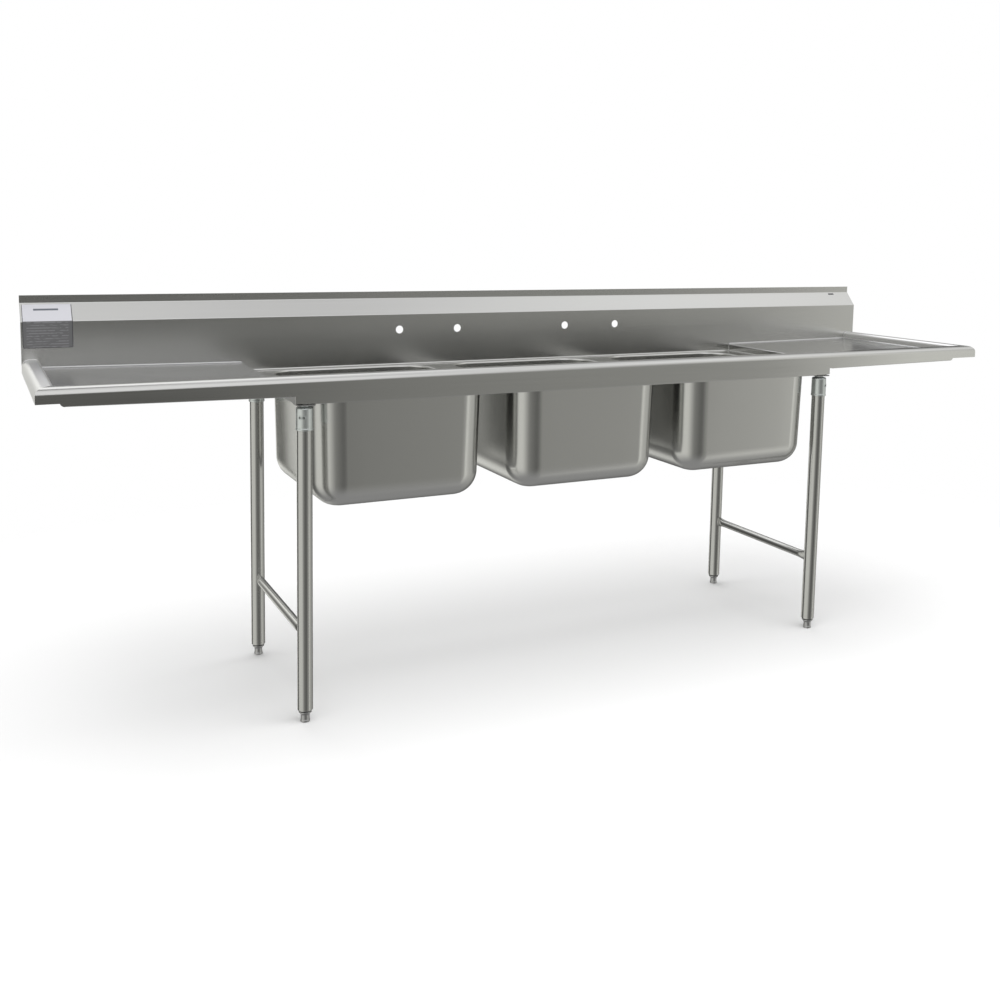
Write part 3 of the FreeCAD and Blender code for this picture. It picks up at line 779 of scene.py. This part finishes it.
def bowl(position):
    """Drawn bowl: leaning walls, round upright corners, a coved floor and a drain hole."""
    x0, x1, y0, y1, floor_z = bowl_box(position)
    corner = BOWL_CORNER - SHEET
    cove_r = BOWL_COVE - SHEET
    drop = BOWL_TOP - floor_z
    wall_end = drop - cove_r
    rows = []

    def ring(inset, z, radius):
        rows.append(rounded_rectangle(x0 + inset, x1 - inset, y0 + inset, y1 - inset, z, radius,
                                      CORNER_STEPS, SIDE_STEPS))

    for k in range(5):
        down = wall_end * k / 4
        ring(BOWL_DRAFT * down / drop, BOWL_TOP - down, corner)
    lean = BOWL_DRAFT * wall_end / drop
    for a in quarter(14)[1:]:
        inset = cove_r * (1 - math.cos(a))
        z = floor_z + cove_r * (1 - math.sin(a)) + BOWL_DISH * (1 - math.cos(a))
        ring(lean + inset, z, corner - inset)
    edge = rows[-1]
    centre_x = (x0 + x1) / 2
    centre_y = (y0 + y1) / 2
    for k in range(1, 9):
        share = k / 8
        row = []
        for x, y, z in edge:
            a = math.atan2(y - centre_y, x - centre_x)
            hole_x = centre_x + DRAIN_HOLE_R * math.cos(a)
            hole_y = centre_y + DRAIN_HOLE_R * math.sin(a)
            row.append((x + (hole_x - x) * share, y + (hole_y - y) * share, z - BOWL_DISH * share))
        rows.append(row)
    shape = Shape()
    shape.rows(rows)
    piece(shape, "bowl_shell_" + position, STEEL_BOWL, ["bowl_" + position],
          thickness=SHEET, facing=Vector((0, 0, 1)))


def label():
    """Thin label folded over the splash's lower bend, with round corners."""
    low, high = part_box("label")
    thickness = SPLASH_Y - low.y
    slope = Vector((LIP_Y - SPLASH_Y, SPLASH_LIP_Z - SPLASH_BEND_Z)).normalized()
    run = (high.z - SPLASH_BEND_Z) / slope.y
    end = (SPLASH_Y + slope.x * run, high.z)
    path = rounded([(SPLASH_Y, low.z), (SPLASH_Y, SPLASH_BEND_Z), end], [0, SPLASH_BEND_R, 0], steps=8)
    path = offset(path, -thickness)
    turn = quarter(5)[:-1]
    rows = []
    for a in turn:
        up = LABEL_CORNER * (1 - math.cos(a))
        rows.append((LABEL_CORNER * (1 - math.sin(a)), path[0][0], path[0][1] + up))
    rows += [(0.0, y, z) for y, z in path[1:-1]]
    for a in reversed(turn):
        back = Vector(path[-1]) - slope * (LABEL_CORNER * (1 - math.cos(a)))
        rows.append((LABEL_CORNER * (1 - math.sin(a)), back.x, back.y))
    shape = Shape()
    shape.rows([[(low.x + inset, y, z), (high.x - inset, y, z)] for inset, y, z in rows], closed=False)
    piece(shape, "label_sheet", label_material(), ["label"], thickness=thickness * 0.8,
          facing=Vector((0, -1, 0.3)))


# ---- stand -------------------------------------------------------------------------------
def leg_place(corner):
    """A leg's middle in X and Y, its lower end and its upper end."""
    low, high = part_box("leg_" + corner)
    return (low.x + high.x) / 2, (low.y + high.y) / 2, low.z, high.z


def leg(corner):
    """Tube with its edges slightly rounded."""
    x, y, bottom, top = leg_place(corner)
    shape = Shape()
    inner = LEG_R - SHEET
    profile = rounded([(LEG_R, bottom), (LEG_R, top), (inner, top), (inner, bottom)],
                      [0.0007, 0.0005, 0.0005, 0.0005], steps=4, closed=True)
    lathe(shape, profile, upright(x, y), steps=96)
    piece(shape, "leg_tube_" + corner, STEEL_TUBE, ["leg_" + corner])


def screw_angles(x):
    """Directions of a socket's set screws: the right sockets mirror the left ones."""
    return [math.radians(a if x < 0 else 180 - a) for a in SCREW_ANGLES]


def socket_plate(corner):
    """Mill steel plate on top of a socket, its edges slightly rounded; its dark tone is partly painted
    shade under the apron.
    """
    low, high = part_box("leg_socket_" + corner)
    bottom = high.z - PLATE
    shape = Shape()
    rows = []
    for z, inset in ((bottom, 0.0006), (bottom + 0.0006, 0.0), (high.z - 0.0002, 0.0), (high.z, 0.0002)):
        rows.append(rounded_rectangle(low.x + inset, high.x - inset, low.y + inset, high.y - inset, z,
                                      PLATE_CORNER, 6, 1))
    shape.rows(rows, capped=True)
    # The plate's dark steel is partly painted shade: it stands in for the shadow under the apron.
    piece(shape, "socket_plate_" + corner, STEEL_MILL_AND_PLATE_SHADE, [])


def socket(corner):
    """Zinc casting: neck, cup with a rolled lip, and a boss round each set screw."""
    x, y, _, leg_top = leg_place(corner)
    low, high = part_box("leg_socket_" + corner)
    shape = Shape()
    inner = LEG_R + SOCKET_FIT
    lip_r = SOCKET_R + SOCKET_LIP
    lip_top = low.z + SOCKET_LIP_HEIGHT
    neck_top = high.z - PLATE
    profile = rounded([(inner, low.z), (lip_r, low.z), (lip_r, lip_top), (SOCKET_R, lip_top + 0.0015),
                       (SOCKET_R - 0.0003, SOCKET_TOP_Z), (SOCKET_NECK_R, SOCKET_TOP_Z + 0.002),
                       (SOCKET_NECK_R, neck_top), (SOCKET_BORE_R, neck_top),
                       (SOCKET_BORE_R, leg_top + 0.001), (inner, leg_top)],
                      [0.0006, 0.0012, 0.001, 0.001, 0.0045, 0.002, 0, 0, 0, 0], steps=6, closed=True)
    lathe(shape, profile, upright(x, y), steps=96)
    face = SOCKET_R + BOSS_STAND
    boss = rounded([(SCREW_R, inner), (BOSS_R, inner), (BOSS_R - BOSS_TAPER, face), (SCREW_R, face)],
                   [0, 0, 0.0008, 0.0003], steps=4, closed=True)
    for angle in screw_angles(x):
        lathe(shape, boss, sideways(x, y, SCREW_Z, angle), steps=32)
    piece(shape, "socket_casting_" + corner, ZINC, ["leg_socket_" + corner])


def set_screws():
    """Two grub screws with six-sided holes in each socket."""
    shape = Shape()
    face = SOCKET_R + 0.0008
    edge = 0.0004
    turn = [math.radians(10 * k) for k in range(36)]
    key = [SCREW_KEY / math.cos((a % math.radians(60)) - math.radians(30)) for a in turn]
    rings = [([SCREW_R] * 36, LEG_R + SOCKET_FIT), ([SCREW_R] * 36, face - edge),
             ([SCREW_R - edge] * 36, face), (key, face), (key, face - SCREW_KEY_DEPTH)]
    for corner in CORNERS:
        x, y, _, _ = leg_place(corner)
        for angle in screw_angles(x):
            axis = sideways(x, y, SCREW_Z, angle)
            shape.rows([[axis(r * math.cos(a), r * math.sin(a), height) for r, a in zip(radii, turn)]
                        for radii, height in rings], capped=True)
    piece(shape, "socket_set_screws", STEEL_DARK, ["set_screws"])


def crossrail(side):
    """Tube from leg to leg, its ends pinched tall, fitted round the legs and welded."""
    low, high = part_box("crossrail_" + side)
    x = (low.x + high.x) / 2
    z = (low.z + high.z) / 2
    _, front, _, _ = leg_place("front_" + side)
    _, rear, _, _ = leg_place("rear_" + side)
    steps = 48
    shape = Shape()

    def ring(radius, leg_y, toward, away, tall):
        """Section that keeps this distance from the leg's round face."""
        wide = math.sqrt(2 - tall ** 2)
        row = []
        for k in range(steps):
            a = 2 * math.pi * k / steps
            across = radius * wide * math.cos(a)
            y = leg_y + toward * (away + math.sqrt(LEG_R ** 2 - across ** 2))
            row.append((x + across, y, z + radius * tall * math.sin(a)))
        return row

    inner = RAIL_R - RAIL_WALL
    outside = [ring(RAIL_R, front, 1, away, tall) for away, tall in RAIL_FLARE]
    outside += [ring(RAIL_R, rear, -1, away, tall) for away, tall in reversed(RAIL_FLARE)]
    inside = [ring(inner, rear, -1, away, tall) for away, tall in RAIL_FLARE]
    inside += [ring(inner, front, 1, away, tall) for away, tall in reversed(RAIL_FLARE)]
    rows = shape.rows(outside + inside)
    shape.band(rows[-1], rows[0], True)
    for leg_y, toward in ((front, 1), (rear, -1)):
        joint = ring(RAIL_R + 0.0004, leg_y, toward, 0.0003, RAIL_FLARE[0][1])
        bead(shape, joint, RAIL_WELD_R, closed=True)
    piece(shape, "crossrail_tube_" + side, STEEL_RAIL, ["crossrail_" + side])


def foot(corner):
    """Bullet foot: flared body under a shoulder, and a threaded stem."""
    low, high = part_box("foot_" + corner)
    x = (low.x + high.x) / 2
    y = (low.y + high.y) / 2
    body = rounded([(0, 0), (FOOT_PAD_R, 0), (FOOT_PAD_R, FOOT_PAD_TOP), (FOOT_BODY_R, FOOT_BODY_LOW),
                    (FOOT_BODY_R, FOOT_BODY_TOP - FOOT_FLARE),
                    (FOOT_SHOULDER_R, FOOT_BODY_TOP - FOOT_SHOULDER),
                    (FOOT_SHOULDER_R, FOOT_BODY_TOP), (FOOT_STEM_R, FOOT_BODY_TOP)],
                   [0, 0.0022, 0.001, 0.001, 0.004, 0.001, 0.0008, 0], steps=6)
    stem = []
    z = FOOT_BODY_TOP + THREAD_PITCH
    while z < high.z - 2 * THREAD_PITCH:
        stem += [(FOOT_STEM_R - THREAD_DEPTH, z), (FOOT_STEM_R, z + THREAD_PITCH / 2)]
        z += THREAD_PITCH
    profile = body + stem + [(FOOT_TIP_R, high.z - 0.0003), (0, high.z)]
    shape = Shape()
    lathe(shape, profile, upright(x, y))
    piece(shape, "bullet_foot_" + corner, STEEL_FOOT, ["foot_" + corner],
          body="adjustable_foot_" + corner, sharp=40.0)


# ---- build -------------------------------------------------------------------------------
def build():
    splash()
    front_rim()
    deck()
    apron()
    label()
    finish_node("serial_tag", TAG_PLASTIC)
    set_screws()
    for side, sign in SIDES:
        side_rim(side, sign)
        drainboard(side, sign)
        drainboard_channel(side, sign)
        crossrail(side)
        finish_node("leg_channel_" + side, STEEL_MILL_AND_PLATE_SHADE)
    for position in POSITIONS:
        bowl(position)
        finish_node("drain_body_" + position, STEEL_POLISHED)
        finish_node("strainer_basket_" + position, STEEL_POLISHED)
        finish_node("drain_locknut_" + position, STEEL_POLISHED)
        finish_node("drain_gasket_" + position, RUBBER)
    for corner in CORNERS:
        leg(corner)
        socket_plate(corner)
        socket(corner)
        foot(corner)
        finish_node("foot_insert_" + corner, STEEL_MILL_AND_PLATE_SHADE)
    corner_welds()


# ---- surroundings ------------------------------------------------------------------------
def floor():
    """Pale floor that fades out into the background and isn't mirrored in the steel."""
    outline = [(x, y, 0.0) for x, y in arc((0, 0), FLOOR_R, 0, 360, 96)[:-1]]
    mesh = bpy.data.meshes.new("floor")
    mesh.from_pydata(outline, [], [range(len(outline))])
    made = bpy.data.objects.new("floor", mesh)
    bpy.context.scene.collection.objects.link(made)
    look = Finish("pale_floor")
    look.set("Roughness", 0.75)
    look.set("Specular IOR Level", 0.1)
    look.set("Base Color", FLOOR_TONE)
    place = look.add("ShaderNodeVectorMath", {0: look.place(), 1: (1 / FLOOR_STRETCH, 1.0, 1.0)},
                     operation="MULTIPLY")
    distance = look.add("ShaderNodeVectorMath", {0: place.outputs[0]}, operation="LENGTH").outputs["Value"]
    look.set("Alpha", look.spread(distance, FLOOR_SOLID_R, FLOOR_FADED_R, 1.0, 0.0, "SMOOTHSTEP"))
    mesh.materials.append(look.material)
    made.visible_glossy = False


def walls(sky, azimuth):
    """Colour of the studio's walls round the horizon."""
    ramp = sky.add("ShaderNodeValToRGB", {"Fac": sky.spread(azimuth, -180.0, 180.0, 0.0, 1.0)})
    stops = ramp.color_ramp.elements
    for angle, _ in HORIZON[1:-1]:
        stops.new((angle + 180) / 360)
    for stop, (_, bright) in zip(stops, HORIZON):
        stop.color = (bright * HAZE[0], bright * HAZE[1], bright * HAZE[2], 1)
    return ramp.outputs["Color"]


def glow(sky, direction, azimuth, elevation, full, end, strength):
    """A soft round place in the studio, with its angles in degrees."""
    a = math.radians(azimuth)
    e = math.radians(elevation)
    centre = (math.sin(a) * math.cos(e), -math.cos(a) * math.cos(e), math.sin(e))
    near = sky.add("ShaderNodeVectorMath", {0: direction, 1: centre}, operation="DOT_PRODUCT")
    return sky.spread(near.outputs["Value"], math.cos(math.radians(end)), math.cos(math.radians(full)),
                      0.0, strength, "SMOOTHSTEP")


def world():
    """White behind the object for the camera; a soft studio for everything that reflects."""
    made = bpy.data.worlds.new("studio")
    bpy.context.scene.world = made
    made.use_nodes = True
    made.node_tree.nodes.clear()
    sky = Tree(made.node_tree)
    direction = sky.add("ShaderNodeTexCoord").outputs["Generated"]
    axes = sky.add("ShaderNodeSeparateXYZ", {0: direction})
    azimuth = sky.maths("ARCTAN2", axes.outputs["X"], sky.maths("MULTIPLY", axes.outputs["Y"], -1.0))
    azimuth = sky.maths("MULTIPLY", azimuth, DEGREES)
    elevation = sky.maths("MULTIPLY", sky.maths("ARCSINE", axes.outputs["Z"]), DEGREES)
    aside = sky.spread(sky.maths("ABSOLUTE", azimuth), *CEILING_TURN, 0.0, 1.0, "SMOOTHSTEP")
    start = sky.spread(aside, 0.0, 1.0, CEILING_FRONT[0], CEILING_ASIDE[0])
    full = sky.spread(aside, 0.0, 1.0, CEILING_FRONT[1], CEILING_ASIDE[1])
    above = sky.spread(elevation, start, full, 0.0, 1.0, "SMOOTHSTEP")
    below = sky.spread(elevation, *GROUND_EDGE, 0.0, 1.0, "SMOOTHSTEP")
    colour = sky.mix(below, sky.mix(above, walls(sky, azimuth), CEILING), GROUND)
    strength = 1.0
    for place in (BACK_TOP, FRONT_TOP, SKYLIGHT_GAP, BAND_DIP, BAND_LIFT):
        strength = sky.maths("ADD", strength, glow(sky, direction, *place))
    studio = sky.add("ShaderNodeBackground", {"Strength": strength, "Color": colour})
    white = sky.add("ShaderNodeBackground", {"Color": (1.0, 1.0, 1.0, 1), "Strength": 1.0})
    seen = sky.add("ShaderNodeLightPath").outputs["Is Camera Ray"]
    both = sky.add("ShaderNodeMixShader", {0: seen, 1: studio.outputs[0], 2: white.outputs[0]})
    sky.add("ShaderNodeOutputWorld", {"Surface": both.outputs[0]})


def floor_light():
    """Broad light from above that whitens the floor and isn't mirrored in the steel."""
    light = bpy.data.lights.new("floor_wash", "AREA")
    light.shape = "RECTANGLE"
    light.size = FLOOR_LIGHT_LENGTH
    light.size_y = FLOOR_LIGHT_DEPTH
    light.energy = FLOOR_LIGHT_POWER
    made = bpy.data.objects.new("floor_wash", light)
    made.location = FLOOR_LIGHT_PLACE
    made.rotation_euler = (-FLOOR_LIGHT_PLACE).to_track_quat("-Z", "Y").to_euler()
    made.visible_camera = False
    made.visible_glossy = False
    bpy.context.scene.collection.objects.link(made)


def camera():
    data = bpy.data.cameras.new("camera")
    data.lens = CAMERA_LENS
    data.shift_x = CAMERA_SHIFT_X
    data.shift_y = CAMERA_SHIFT_Y
    made = bpy.data.objects.new("camera", data)
    turn = Matrix.Rotation(math.radians(CAMERA_YAW), 4, "Z")
    tilt = Matrix.Rotation(math.radians(90 + CAMERA_PITCH), 4, "X")
    roll = Matrix.Rotation(math.radians(CAMERA_ROLL), 4, "Z")
    made.matrix_world = Matrix.Translation(CAMERA_PLACE) @ turn @ tilt @ roll
    bpy.context.scene.collection.objects.link(made)
    bpy.context.scene.camera = made


build()
floor()
world()
floor_light()
camera()
bpy.context.scene.view_settings.view_transform = "Standard"
